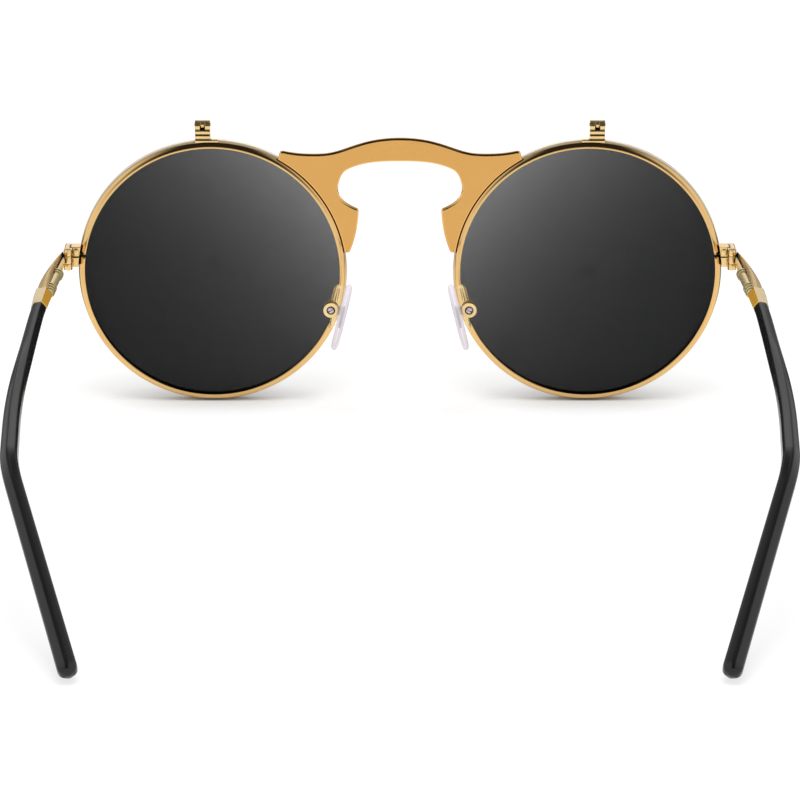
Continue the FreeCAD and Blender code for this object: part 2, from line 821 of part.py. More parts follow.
def nose_pad_arm():
    """Hairpin wire from the rim's back to the box that holds the pad."""
    mid_radius = rim_outer_radius - rim_wall / 2
    top_radius = rim_outer_radius - arm_top_inset
    root = below_level(mid_radius, arm_root_angle, 0)
    knee = below_level(mid_radius, arm_root_angle, arm_root_back)
    top = below_level(top_radius, arm_top_angle, arm_top_back)
    turn = top + point(arm_loop / 2, -arm_loop, 0)
    half = box_length / 2
    slot = tongue_thickness / 2 + box_play
    box_top = pad_pivot + point(-arm_end_inset, (slot + half) / 2, box_radius - arm_radius)
    path = rounded_path([root, knee, top, turn, box_top],
                        [0, arm_corner_radius, arm_bend_radius, arm_bend_radius, 0], False)
    wire = tube(path, root, unit(knee - root), arm_radius)
    cup = rod(pad_pivot - along_y * half, along_y, box_radius, box_length)
    gap = box(pad_pivot - point(box_radius + overrun, slot, box_radius + overrun),
              pad_pivot + point(box_radius - box_wall, slot, box_radius + overrun))
    hole = rod(pad_pivot - along_y * half, along_y, pad_screw_radius + pad_screw_fit, box_length + overrun)
    seat = rod(pad_pivot - along_y * (half + overrun), along_y, pad_screw_head_radius + pad_screw_fit,
               pad_screw_head_height + overrun)
    return wire.fuse(cup).cut(gap).cut(hole).cut(seat).removeSplitter()


def nose_pad_screw():
    head_end = pad_pivot - along_y * (box_length / 2)
    return screw(head_end, point(0, -1, 0), pad_screw_head_radius, pad_screw_head_height, pad_screw_radius,
                 box_length)


def tilted(shape):
    """Turn a pad drawn upright at the pad screw to the slope of the nose."""
    turned = shape.copy()
    turned.rotate(point(0, 0, 0), along_y, -pad_tilt)
    turned.translate(pad_pivot)
    return turned


pad_middle = point(-pad_standoff, -pad_back, -pad_lift)


def insert_plate(extra):
    """Metal plate in the pad with the tongue that reaches into the box."""
    low = pad_middle - point(insert_thickness / 2, insert_width / 2, insert_length / 2)
    high = pad_middle + point(insert_thickness / 2, insert_width / 2, insert_length / 2)
    spread = point(extra, extra, extra)
    plate = box(low - spread, high + spread)
    half = tongue_thickness / 2 + extra
    tongue = box(point(-pad_standoff, -half, -tongue_radius - extra), point(0, half, tongue_radius + extra))
    return plate.fuse(tongue)


def nose_pad_insert():
    half = tongue_thickness / 2
    end = rod(point(0, -half, 0), along_y, tongue_radius, tongue_thickness)
    hole = rod(point(0, -half - overrun, 0), along_y, pad_screw_radius + pad_screw_fit,
               tongue_thickness + 2 * overrun)
    return tilted(insert_plate(0).fuse(end).cut(hole).removeSplitter())


def nose_pad():
    """Soft oval pad moulded round the insert."""
    low = pad_middle - point(pad_thickness / 2, pad_width / 2, pad_length / 2)
    corners = [low, low + along_y * pad_width, low + along_y * pad_width + along_z * pad_length,
               low + along_z * pad_length]
    outline = rounded_path(corners, [pad_width * pad_round_share] * 4, True)
    slab = Part.Face(outline).extrude(along_x * pad_thickness)
    slab = slab.makeFillet(pad_edge, slab.Edges)
    return tilted(slab.cut(insert_plate(insert_fit)))


def half_pieces():
    """Every piece of the right half by its name."""
    makers = (base_rim, clear_lens, rim_lock_upper, rim_lock_lower, rim_lock_screw, end_piece, hinge_screw,
              hinge_slider, slider_stop, hinge_spring, spring_housing, housing_plug, temple_bar, ferrule,
              core_wire, temple_sleeve, nose_pad_arm, nose_pad_screw, nose_pad_insert, nose_pad,
              flip_base_leaf, flip_pin, flip_leaf, flip_rim, dark_lens)
    return {maker.__name__: maker() for maker in makers}


pieces = {"bridge_plate": bridge_plate()}
for name, shape in half_pieces().items():
    pieces["right_" + name] = shape
    pieces["left_" + name] = shape.mirror(point(0, 0, 0), along_x)


def leaned(shape, angle):
    turned = shape.copy()
    turned.rotate(point(0, 0, 0), along_x, -angle)
    return turned


# The lean that brings the rims and the temple tips to one level
lean = 0
for attempt in range(4):
    rim_box = leaned(pieces["right_base_rim"], lean).optimalBoundingBox(False)
    tip_box = leaned(pieces["right_temple_sleeve"], lean).optimalBoundingBox(False)
    lean = lean + math.degrees(math.atan2(rim_box.ZMin - tip_box.ZMin, rim_box.YMin - tip_box.YMin))

limits = FreeCAD.BoundBox()
for name in pieces:
    pieces[name] = leaned(pieces[name], lean)
    limits.add(pieces[name].optimalBoundingBox(False))
seat = point(-limits.Center.x, -limits.Center.y, -limits.ZMin)
for name, shape in pieces.items():
    shape.translate(seat)
    shape.exportStep("parts/" + name + ".step")


def placed(place):
    """A drawn point where the finished part stands."""
    turn = FreeCAD.Rotation(along_x, -lean)
    return turn.multVec(place) + seat


def report(label, place):
    final = placed(place)
    print(label, "%.4f %.4f %.4f" % (final.x, final.y, final.z))


print("lean", "%.4f" % lean, "box", limits.XLength, limits.YLength, limits.ZLength)
report("hinge centre", hinge_centre)
report("hinge axis end", hinge_centre + along_z * hinge_stack)
report("temple way end", hinge_centre + temple_way * hinge_stack)
report("flip axis", point(tower_x, tower_axis_y, tower_axis_z))
report("pad pivot", pad_pivot)
report("bridge back", point(0, (rim_depth - bridge_thickness) / 2, rim_outer_radius * bridge_mount_share))
for label, place in zip(("sleeve start", "sleeve lead", "bow", "ear bend", "tip"), sleeve_points()):
    report(label, place)
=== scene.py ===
import json
import math

import bmesh
import bpy
from mathutils import Matrix, Vector


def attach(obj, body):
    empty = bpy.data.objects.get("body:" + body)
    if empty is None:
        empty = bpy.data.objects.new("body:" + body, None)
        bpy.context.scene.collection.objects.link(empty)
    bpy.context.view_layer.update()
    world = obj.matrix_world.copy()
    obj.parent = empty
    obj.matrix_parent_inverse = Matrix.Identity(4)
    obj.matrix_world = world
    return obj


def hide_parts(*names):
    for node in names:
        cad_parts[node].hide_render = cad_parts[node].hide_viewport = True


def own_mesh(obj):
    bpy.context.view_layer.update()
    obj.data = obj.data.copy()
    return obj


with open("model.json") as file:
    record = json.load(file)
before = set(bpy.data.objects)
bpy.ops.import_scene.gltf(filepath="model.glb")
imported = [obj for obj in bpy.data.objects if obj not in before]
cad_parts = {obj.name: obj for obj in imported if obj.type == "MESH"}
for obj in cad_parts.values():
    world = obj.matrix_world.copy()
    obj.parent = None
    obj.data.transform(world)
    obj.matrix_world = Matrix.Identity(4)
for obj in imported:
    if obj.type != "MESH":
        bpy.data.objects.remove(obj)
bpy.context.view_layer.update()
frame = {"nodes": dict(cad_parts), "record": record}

# Base rims
# Each is a round wire of copper alloy, rolled with a groove for its lens and split at the
# rim lock. It is polished bright and gold plated after everything brazed to it is on.
millimetre = 0.001
sides = {"left": -1, "right": 1}
collection = bpy.context.scene.collection
lean = math.radians(1.78)
seat = Vector((0, 65.9148, 26.0126))
lens_spacing = 36.55
split_height = 3.6
rim_steps = 240
rim_arc_steps = 18
rim_sharp_angle = math.radians(45)
rim_weld = 0.001 * millimetre
base_rim_size = {"radius": 26.0, "wall": 1.15, "back": 0.0, "depth": 1.4, "groove_in": 0.45,
                 "groove_wide": 0.8, "split": 0.24, "bulge": 1.0}
# Near black for painted shade in gaps and grooves.
painted_shade_tone = (0.02, 0.01, 0.004, 1)
crevice_samples = 8
cloud_scale = 220
cloud_detail = 3
cloud_band = (0.35, 0.8)
cloud_share = 0.6
cloud_dulling = 0.1
mark_scale = 2600
mark_detail = 2
mark_dulling = 0.05
relief_depth = 0.02 * millimetre


class Shade:
    """A socket in a node tree: sums on it add Math nodes, and node() adds any other node."""

    noise_roughness = 0.6

    def __init__(self, tree, socket=None):
        self.tree = tree
        self.socket = socket

    def feed(self, target, value):
        """Link a value to a socket of a node, or set it there where it is a plain number."""
        if isinstance(value, Shade):
            self.tree.links.new(value.socket, target)
        else:
            target.default_value = value

    def node(self, kind, settings, sockets, output=0):
        """Add a node, make its settings first, then feed its sockets."""
        added = self.tree.nodes.new(kind)
        for name, value in settings.items():
            setattr(added, name, value)
        for name, value in sockets.items():
            self.feed(added.inputs[name], value)
        return Shade(self.tree, added.outputs[output] if added.outputs else None)

    def maths(self, operation, *values):
        return self.node("ShaderNodeMath", {"operation": operation}, dict(enumerate(values)))

    def __add__(self, other):
        return self.maths("ADD", self, other)

    def __radd__(self, other):
        return self.maths("ADD", other, self)

    def __sub__(self, other):
        return self.maths("SUBTRACT", self, other)

    def __rsub__(self, other):
        return self.maths("SUBTRACT", other, self)

    def __mul__(self, other):
        return self.maths("MULTIPLY", self, other)

    def __rmul__(self, other):
        return self.maths("MULTIPLY", other, self)

    def __pow__(self, other):
        return self.maths("POWER", self, other)

    def __abs__(self):
        return self.maths("ABSOLUTE", self)

    def step(self, low, high):
        """Rise smoothly from 0 at one value to 1 at another."""
        return self.node("ShaderNodeMapRange", {"interpolation_type": "SMOOTHSTEP"},
                         {"Value": self, "From Min": low, "From Max": high})

    def mix(self, share, first, second):
        """Blend two colours."""
        return self.node("ShaderNodeMix", {"data_type": "RGBA"}, {0: share, 6: first, 7: second}, 2)

    def coordinates(self, kind):
        """The surface's own Object, Normal or Generated coordinates."""
        return self.node("ShaderNodeTexCoord", {}, {}, kind)

    def axis(self, letter):
        """One number of a vector."""
        return self.node("ShaderNodeSeparateXYZ", {}, {0: self}, letter)

    def ray(self, kind):
        """1 where the surface is met by this kind of ray."""
        return self.node("ShaderNodeLightPath", {}, {}, kind)

    def noise(self, place, scale, detail):
        return self.node("ShaderNodeTexNoise", {}, {"Vector": place, "Scale": scale, "Detail": detail,
                                                    "Roughness": self.noise_roughness})

    def bump(self, height, strength, distance):
        """Fine relief for a shader's normal."""
        return self.node("ShaderNodeBump", {}, {"Height": height, "Strength": strength,
                                                "Distance": distance}, "Normal")


def new_finish(name):
    """Start a procedural material: the material, its shader's sockets and its node tree."""
    material = bpy.data.materials.new(name)
    material.use_nodes = True
    shader = material.node_tree.nodes["Principled BSDF"]
    return material, shader.inputs, Shade(material.node_tree)


def painted_shade_openness(shade, reach, deep=0.42, bare=0.82):
    """Low in gaps and grooves, where the colour is darkened as painted shade."""
    openness = shade.node("ShaderNodeAmbientOcclusion", {"samples": crevice_samples},
                          {"Distance": reach * millimetre}, "AO")
    return openness.step(deep, bare)


def gold_plate(name, colour, worn_colour, polish, grain, metal, reach, deep=0.42, bare=0.82):
    """Gold plating over copper alloy, clouded a little by handling and polishing marks; gaps get
    painted shade.
    """
    material, shader, shade = new_finish(name)
    place = shade.coordinates("Object")
    cloud = shade.noise(place, cloud_scale, cloud_detail)
    marks = shade.noise(place, mark_scale, mark_detail)
    tone = shade.mix(cloud.step(*cloud_band) * cloud_share, colour, worn_colour)
    openness = painted_shade_openness(shade, reach, deep, bare)
    # Gaps and grooves are darkened towards near black: painted shade.
    shade.feed(shader["Base Color"], shade.mix(openness, painted_shade_tone, tone))
    shade.feed(shader["Roughness"], polish + cloud * cloud_dulling + marks * mark_dulling)
    shader["Metallic"].default_value = metal
    shade.feed(shader["Normal"], shade.bump(marks, grain, relief_depth))
    return material


def stand(x, y, z):
    """A place drawn on the upright front, in millimetres, where the leaned part has it."""
    return (Matrix.Rotation(-lean, 3, "X") @ Vector((x, y, z)) + seat) * millimetre


def join_rings(form, rings):
    """Faces between each ring of corners and the next one."""
    for ring, following in zip(rings, rings[1:]):
        for index in range(len(ring)):
            after = (index + 1) % len(ring)
            form.faces.new((ring[index], following[index], following[after], ring[after]))


def smooth_mesh(name, form, material):
    """Smooth shaded mesh of a drawn form, with its finish."""
    mesh = bpy.data.meshes.new(name)
    form.to_mesh(mesh)
    form.free()
    for polygon in mesh.polygons:
        polygon.use_smooth = True
    mesh.materials.clear()
    mesh.materials.append(material)
    return mesh


def new_piece(name, data):
    """Put a mesh, a lamp or a camera in the scene as an object of its own."""
    piece = bpy.data.objects.new(name, data)
    collection.objects.link(piece)
    return piece


def rim_section(radius, wall, back, depth, groove_in, groove_wide, bulge):
    """Section of a rim as distances from the lens's middle and levels, groove included."""
    inner = radius - wall
    middle = back + depth / 2
    section = []
    for step in range(rim_arc_steps + 1):
        turn = math.pi * (step / rim_arc_steps - 0.5)
        out = max(math.cos(turn), 0) ** bulge
        level = math.copysign(abs(math.sin(turn)) ** bulge, math.sin(turn))
        section.append((inner + wall * out, middle + depth / 2 * level))
    return section + [(inner, middle + groove_wide / 2), (inner + groove_in, middle),
                      (inner, middle - groove_wide / 2)]


def rolled_rim(node, sign, body, material, size):
    """Wire with a bulged outside and a lens groove inside, bent round its lens."""
    shape = dict(size)
    split = shape.pop("split")
    radius = shape["radius"]
    section = rim_section(**shape)
    start = math.asin(split_height / radius) + split / radius / 2
    sweep = 2 * math.pi - split / radius
    form = bmesh.new()
    rings = []
    for step in range(rim_steps + 1):
        angle = start + sweep * step / rim_steps
        ring = [stand(sign * (lens_spacing + distance * math.cos(angle)), level,
                      distance * math.sin(angle)) for distance, level in section]
        rings.append([form.verts.new(corner) for corner in ring])
    join_rings(form, rings)
    if split:
        form.faces.new(rings[0])
        form.faces.new(rings[-1])
    else:
        bmesh.ops.remove_doubles(form, verts=rings[0] + rings[-1], dist=rim_weld)
    bmesh.ops.recalc_face_normals(form, faces=form.faces)
    mesh = smooth_mesh(node + "_rolled", form, material)
    mesh.set_sharp_from_angle(angle=rim_sharp_angle)
    piece = new_piece(node + "_rolled", mesh)
    piece.modifiers.new("even shading", "WEIGHTED_NORMAL")
    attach(piece, body)
    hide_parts(node)


rim_gold = gold_plate("rim_gold_plate", (0.8, 0.525, 0.22, 1), (0.74, 0.45, 0.165, 1),
                      polish=0.06, grain=0.05, metal=1.0, reach=0.6)
for side, sign in sides.items():
    rolled_rim(side + "_base_rim", sign, "front_frame", rim_gold, base_rim_size)

# Bridge plate
# A flat plate of copper alloy, stamped with the keyhole for the nose and brazed between the
# rims. Its faces are blasted to an even satin, and its edges are polished bright.
satin_light = (0.775, 0.43, 0.14, 1)
satin_dark = (0.66, 0.345, 0.092, 1)
satin_edge = (0.86, 0.52, 0.19, 1)
satin_face_band = (0.9, 0.99)
satin_grain_scale = 2400
satin_grain_detail = 3
satin_cloud_scale = 110
satin_cloud_detail = 2
satin_edge_roughness = 0.08
satin_face_roughness = 0.1
satin_relief = 0.06
satin_crevice_reach = 0.6
satin_gold, satin_shader, satin = new_finish("bridge_satin_gold")
satin_place = satin.coordinates("Object")
satin_face = abs(satin.coordinates("Normal").axis("Y")).step(*satin_face_band)
satin_grain = satin.noise(satin_place, satin_grain_scale, satin_grain_detail)
satin_cloud = satin.noise(satin_place, satin_cloud_scale, satin_cloud_detail)
satin_tone = satin.mix(satin_grain * 0.5 + satin_cloud * 0.5, satin_light, satin_dark)
satin_clean = satin.mix(satin_face, satin_edge, satin_tone)
# Gaps next to the plate are darkened towards near black: painted shade.
satin_openness = painted_shade_openness(satin, satin_crevice_reach)
satin.feed(satin_shader["Base Color"], satin.mix(satin_openness, painted_shade_tone, satin_clean))
satin_dulling = satin_face * (satin_face_roughness + satin_grain * satin_face_roughness)
satin.feed(satin_shader["Roughness"], satin_edge_roughness + satin_dulling)
satin_shader["Metallic"].default_value = 1.0
satin.feed(satin_shader["Normal"], satin.bump(satin_grain * satin_face, satin_relief, relief_depth))


def dress(node, material):
    """Give a CAD node its finish."""
    frame["nodes"][node].material_slots[0].material = material


dress("bridge_plate", satin_gold)

# Clear lenses
# Thin clear polycarbonate discs, bevelled to snap into the base rims' grooves. A coating
# keeps reflections low, so little shows of them but a soft gleam at a very low angle.
clear_gleam = (0.38, 0.4, 0.395, 1)
clear_gleam_band = (0.68, 1.0)
clear_gleam_most = 0.5
clear_roughness = 0.02
clear_dulling = 0.03
clear_cloud_scale = 120
clear_cloud_detail = 2
clear_plastic, clear_shader, clear = new_finish("clear_lens_plastic")
clear_facing = clear.node("ShaderNodeLayerWeight", {}, {"Blend": 0.5}, "Facing")
clear_cloud = clear.noise(clear.coordinates("Object"), clear_cloud_scale, clear_cloud_detail)
clear.feed(clear_shader["Alpha"], clear_facing.step(*clear_gleam_band) * clear_gleam_most)
clear.feed(clear_shader["Roughness"], clear_roughness + clear_cloud * clear_dulling)
clear_shader["Base Color"].default_value = clear_gleam
clear_shader["Metallic"].default_value = 1.0
for side in sides:
    dress(side + "_clear_lens", clear_plastic)

# Rim locks
# Two small blocks brazed on the rim, one each side of its split, drawn together by a screw
# from below to hold the lens. Their edges are broken by tumbling before plating.
lock_edge = 0.12
triangle_weld = 0.0001 * millimetre
flat_angle = math.radians(1)
corner_angle = math.radians(38)
edge_segments = 2
hardware_gold = gold_plate("hardware_gold_plate", (0.92, 0.66, 0.3, 1), (0.8, 0.48, 0.15, 1),
                           polish=0.1, grain=0.08, metal=0.9, reach=0.7)


def machined(node, edge, material, body):
    """A CAD node with its triangles joined into faces and its edges broken."""
    form = bmesh.new()
    form.from_mesh(frame["nodes"][node].data)
    bmesh.ops.remove_doubles(form, verts=form.verts, dist=triangle_weld)
    bmesh.ops.dissolve_limit(form, angle_limit=flat_angle, verts=form.verts, edges=form.edges)
    mesh = smooth_mesh(node + "_machined", form, material)
    if "custom_normal" in mesh.attributes:
        mesh.attributes.remove(mesh.attributes["custom_normal"])
    piece = new_piece(node + "_machined", mesh)
    broken = piece.modifiers.new("broken edges", "BEVEL")
    broken.width = edge * millimetre
    broken.segments = edge_segments
    broken.limit_method = "ANGLE"
    broken.angle_limit = corner_angle
    piece.modifiers.new("even shading", "WEIGHTED_NORMAL")
    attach(piece, body)
    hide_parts(node)
    return piece


for side in sides:
    machined(side + "_rim_lock_upper", lock_edge, hardware_gold, "front_frame")
    machined(side + "_rim_lock_lower", lock_edge, hardware_gold, "front_frame")
    dress(side + "_rim_lock_screw", hardware_gold)

# End pieces and hinge screws
# Milled blocks brazed outside the rim locks, each with two knuckles. A slotted screw goes
# down through them and through the temple's own knuckle.
end_piece_edge = 0.14
hinge_screw_edge = 0.06
for side in sides:
    machined(side + "_end_piece", end_piece_edge, hardware_gold, "front_frame")
    machined(side + "_hinge_screw", hinge_screw_edge, hardware_gold, "front_frame")

# Spring hinge
# The temple's knuckle is on a slider that a coil spring draws into a turned barrel, so that
# the temple springs back when it is spread. A plug closes the barrel behind the spring.
hinge_joints = {joint["name"]: joint for joint in frame["record"]["behaviour"]["joints"]}
slider_edge = 0.1
slider_offset = 0.62 * millimetre
temple_splay = math.radians(5.4)
barrel_start = 6.9 * millimetre
barrel_length = 11.2 * millimetre
barrel_radius = 0.95 * millimetre
barrel_mouth = 0.78 * millimetre
barrel_wall = 0.28 * millimetre
barrel_face = 0.9 * millimetre
ring_rise = 0.2 * millimetre
ring_shoulder = 0.75
ring_width = 0.55 * millimetre
ring_places = (0.5, 1.5, 7.6, 8.7, 9.8)
turned_steps = 48
turned_sharp_angle = math.radians(50)
spring_start = 7.86 * millimetre
spring_length = 7.92 * millimetre
spring_radius = 0.45 * millimetre
spring_wire = 0.1 * millimetre
spring_turns = 24
coil_resolution = 20
wire_resolution = 8
# Its strong settings paint deep shade into the grooves beside its rings.
barrel_gold = gold_plate("barrel_gold_plate", (1.0, 0.84, 0.46, 1), (0.9, 0.66, 0.28, 1),
                         polish=0.2, grain=0.1, metal=0.6, reach=0.45, deep=0.66, bare=0.97)
steel_light = (0.62, 0.6, 0.58, 1)
steel_dark = (0.42, 0.4, 0.39, 1)
steel_mark_scale = 3000
steel_mark_detail = 3
steel_roughness = 0.2
hinge_steel, steel_shader, steel = new_finish("hinge_steel")
steel_marks = steel.noise(steel.coordinates("Object"), steel_mark_scale, steel_mark_detail)
steel.feed(steel_shader["Base Color"], steel.mix(steel_marks, steel_light, steel_dark))
steel.feed(steel_shader["Roughness"], steel_roughness + steel_marks * steel_roughness)
steel_shader["Metallic"].default_value = 1.0


def along(start, way):
    """Matrix that stands a piece drawn up the Z axis at a place, along a direction."""
    return Matrix.Translation(start) @ way.to_track_quat("Z", "Y").to_matrix().to_4x4()


def turned(name, profile, matrix, material):
    """A closed profile of distance and radius turned on a lathe."""
    form = bmesh.new()
    rings = []
    for step in range(turned_steps):
        angle = 2 * math.pi * step / turned_steps
        rings.append([form.verts.new((radius * math.cos(angle), radius * math.sin(angle), distance))
                      for distance, radius in profile])
    join_rings(form, rings + rings[:1])
    bmesh.ops.recalc_face_normals(form, faces=form.faces)
    mesh = smooth_mesh(name, form, material)
    mesh.transform(matrix)
    mesh.set_sharp_from_angle(angle=turned_sharp_angle)
    return new_piece(name, mesh)


def barrel_profile():
    """Outside of the barrel with its raised rings, then back along its bore."""
    edge = ring_rise / 2
    shoulder = barrel_radius + ring_rise * ring_shoulder
    crown = barrel_radius + ring_rise
    inside = barrel_radius - barrel_wall
    profile = [(edge * 2, barrel_mouth), (0, barrel_mouth + edge), (0, barrel_radius - edge),
               (edge, barrel_radius)]
    for place in ring_places:
        first = place * millimetre
        last = first + ring_width
        profile += [(first, barrel_radius), (first + edge / 2, shoulder), (first + edge * 2, crown),
                    (last - edge * 2, crown), (last - edge / 2, shoulder), (last, barrel_radius)]
    return profile + [(barrel_length - edge, barrel_radius), (barrel_length, barrel_radius - edge),
                      (barrel_length, inside), (barrel_face, inside)]


def geometry_tree(name, inputs):
    """Start a geometry tree with named inputs: the tree as a Shade, and its inputs."""
    tree = bpy.data.node_groups.new(name, "GeometryNodeTree")
    tree.interface.new_socket(name="Geometry", in_out="INPUT", socket_type="NodeSocketGeometry")
    for label, kind in inputs:
        tree.interface.new_socket(name=label, in_out="INPUT", socket_type="NodeSocket" + kind)
    tree.interface.new_socket(name="Geometry", in_out="OUTPUT", socket_type="NodeSocketGeometry")
    start = tree.nodes.new("NodeGroupInput")
    sockets = {socket.name: Shade(tree, socket) for socket in start.outputs if socket.name}
    return Shade(tree), sockets


def end_tree(shade, geometry, material):
    """Realise what a geometry tree made, give it its material and put it out."""
    whole = shade.node("GeometryNodeRealizeInstances", {}, {"Geometry": geometry})
    dressed = shade.node("GeometryNodeSetMaterial", {}, {"Geometry": whole, "Material": material})
    shade.node("NodeGroupOutput", {}, {"Geometry": dressed})


def grown(name, tree, values, mesh):
    """A plain mesh object from a geometry tree and the values of its inputs."""
    piece = new_piece(name, mesh)
    growth = piece.modifiers.new("growth", "NODES")
    growth.node_group = tree
    for item in tree.interface.items_tree:
        if item.in_out == "INPUT" and item.name in values:
            growth[item.identifier] = values[item.name]
    bpy.context.view_layer.update()
    depsgraph = bpy.context.evaluated_depsgraph_get()
    finished = bpy.data.meshes.new_from_object(piece.evaluated_get(depsgraph))
    piece.modifiers.clear()
    piece.data = finished
    finished.name = name
    return piece


coil, coil_in = geometry_tree("coil_spring", (
    ("Turns", "Float"), ("Coil Radius", "Float"), ("Length", "Float"), ("Wire Radius", "Float"),
    ("Material", "Material")))
coil_line = coil.node("GeometryNodeCurveSpiral", {}, {
    "Resolution": coil_resolution, "Rotations": coil_in["Turns"],
    "Start Radius": coil_in["Coil Radius"], "End Radius": coil_in["Coil Radius"],
    "Height": coil_in["Length"]})
coil_section = coil.node("GeometryNodeCurvePrimitiveCircle", {}, {
    "Resolution": wire_resolution, "Radius": coil_in["Wire Radius"]})
coil_wire = coil.node("GeometryNodeCurveToMesh", {}, {
    "Curve": coil_line, "Profile Curve": coil_section, "Fill Caps": True})
end_tree(coil, coil_wire, coil_in["Material"])
spring_values = {"Turns": spring_turns, "Coil Radius": spring_radius, "Length": spring_length,
                 "Wire Radius": spring_wire, "Material": hinge_steel}

for side, sign in sides.items():
    hinge = Vector(hinge_joints[side + "_temple_fold"]["pos_m"])
    way = Vector(hinge_joints[side + "_spring_slide"]["axis"]).normalized()
    splayed = Vector((sign * math.cos(temple_splay), math.sin(temple_splay), 0))
    outward = Matrix.Rotation(-lean, 3, "X") @ splayed
    axis_start = hinge + outward * slider_offset
    slider_body = side + "_hinge_slider_body"
    machined(side + "_hinge_slider", slider_edge, hardware_gold, slider_body)
    dress(side + "_slider_stop", hinge_steel)
    spring = grown(side + "_coil_spring", coil.tree, spring_values, bpy.data.meshes.new("coil_start"))
    spring.data.transform(along(axis_start + way * spring_start, way))
    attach(spring, slider_body)
    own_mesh(spring)
    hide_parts(side + "_hinge_spring")
    barrel_stand = along(axis_start + way * barrel_start, way)
    barrel = turned(side + "_spring_barrel", barrel_profile(), barrel_stand, barrel_gold)
    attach(barrel, side + "_temple_body")
    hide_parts(side + "_spring_housing")
    dress(side + "_housing_plug", hinge_steel)

# Temple bars and ferrules
# The cast bar lies outside the barrel and ends in a shank. The six-sided ferrule is pressed
# over the shank and covers the joint to the plastic sleeve.
ferrule_edge = 0.1
ferrule_painted_pale = (1.0, 0.8, 0.48, 1)
ferrule_painted_orange = (1.0, 0.52, 0.05, 1)
ferrule_worn = (0.8, 0.46, 0.1, 1)
ferrule_worn_share = 0.4
painted_facet_gain = -15.0
painted_facet_band = (0.2, 0.6)
ferrule_crevice_reach = 0.4
ferrule_roughness = 0.34
bar_gold = gold_plate("bar_gold_plate", (0.95, 0.68, 0.34, 1), (0.85, 0.55, 0.22, 1),
                      polish=0.2, grain=0.08, metal=0.7, reach=0.6)
ferrule_gold, ferrule_shader, pressed = new_finish("ferrule_gold_plate")
pressed_place = pressed.coordinates("Object")
pressed_facing = pressed.coordinates("Normal")
# Facets facing inwards are painted bright orange and the others pale: painted light and painted sheen.
pressed_painted_facet_side = pressed_place.axis("X") * pressed_facing.axis("X") * painted_facet_gain
pressed_cloud = pressed.noise(pressed_place, cloud_scale, cloud_detail)
pressed_painted_facets = pressed.mix(pressed_painted_facet_side.step(*painted_facet_band), ferrule_painted_pale, ferrule_painted_orange)
pressed_wear = pressed_cloud.step(*cloud_band) * ferrule_worn_share
pressed_worn = pressed.mix(pressed_wear, pressed_painted_facets, ferrule_worn)
# Gaps are darkened towards near black: painted shade.
pressed_openness = painted_shade_openness(pressed, ferrule_crevice_reach)
pressed.feed(ferrule_shader["Base Color"], pressed.mix(pressed_openness, painted_shade_tone, pressed_worn))
pressed.feed(ferrule_shader["Roughness"], ferrule_roughness + pressed_cloud * cloud_dulling)
ferrule_shader["Metallic"].default_value = 0.3
ferrule_shader["Coat Weight"].default_value = 0.8
for side in sides:
    dress(side + "_temple_bar", bar_gold)
    machined(side + "_ferrule", ferrule_edge, ferrule_gold, side + "_temple_body")

# Core wires and temple sleeves
# A six-sided sleeve of gloss black plastic is moulded on a steel core wire, warmed and bent
# down behind the ear. Its edges are softened and its tip is rounded by polishing.
sleeve_route = ((67.6955, 37.9842, 27.8979), (67.8542, 33.4287, 27.5695), (68.3172, -4.5700, 24.8321),
                (66.4770, -31.6371, 22.8760), (53.4932, -70.2487, 1.2942))
sleeve_bends = (0.0, 150.0, 300.0, 20.0, 0.0)
sleeve_bend_steps = 24
sleeve_ring_spacing = 0.3 * millimetre
sleeve_front_width = 2.65 * millimetre
sleeve_back_width = 3.4 * millimetre
sleeve_tip = 1.7 * millimetre
sleeve_tip_power = 0.8
sleeve_tip_least = 0.0004
sleeve_flats = 6
sleeve_edge_share = 0.26
sleeve_edge_steps = 5
sleeve_roll = math.radians(9.0)
sleeve_twist = math.radians(-27.0)
twist_start = 13.0 * millimetre
twist_end = 42.0 * millimetre
flats_to_corners = 2 / math.sqrt(3)
sleeve_dark = (0.009, 0.009, 0.01, 1)
sleeve_light = (0.016, 0.016, 0.017, 1)
sleeve_cloud_scale = 70
sleeve_cloud_detail = 3
sleeve_mark_scale = 1800
sleeve_mark_detail = 2
sleeve_roughness = 0.1
sleeve_cloud_dulling = 0.1
sleeve_mark_dulling = 0.04
sleeve_relief = 0.05
sleeve_relief_depth = 0.2 * millimetre
sleeve_black, sleeve_shader, plastic = new_finish("sleeve_gloss_black")
plastic_place = plastic.coordinates("Object")
plastic_cloud = plastic.noise(plastic_place, sleeve_cloud_scale, sleeve_cloud_detail)
plastic_marks = plastic.noise(plastic_place, sleeve_mark_scale, sleeve_mark_detail)
plastic_dulling = plastic_cloud * sleeve_cloud_dulling
plastic.feed(sleeve_shader["Base Color"], plastic.mix(plastic_cloud, sleeve_dark, sleeve_light))
plastic.feed(sleeve_shader["Roughness"],
             sleeve_roughness + plastic_dulling + plastic_marks * sleeve_mark_dulling)
sleeve_shader["Specular IOR Level"].default_value = 0.38
plastic.feed(sleeve_shader["Normal"], plastic.bump(plastic_cloud, sleeve_relief, sleeve_relief_depth))

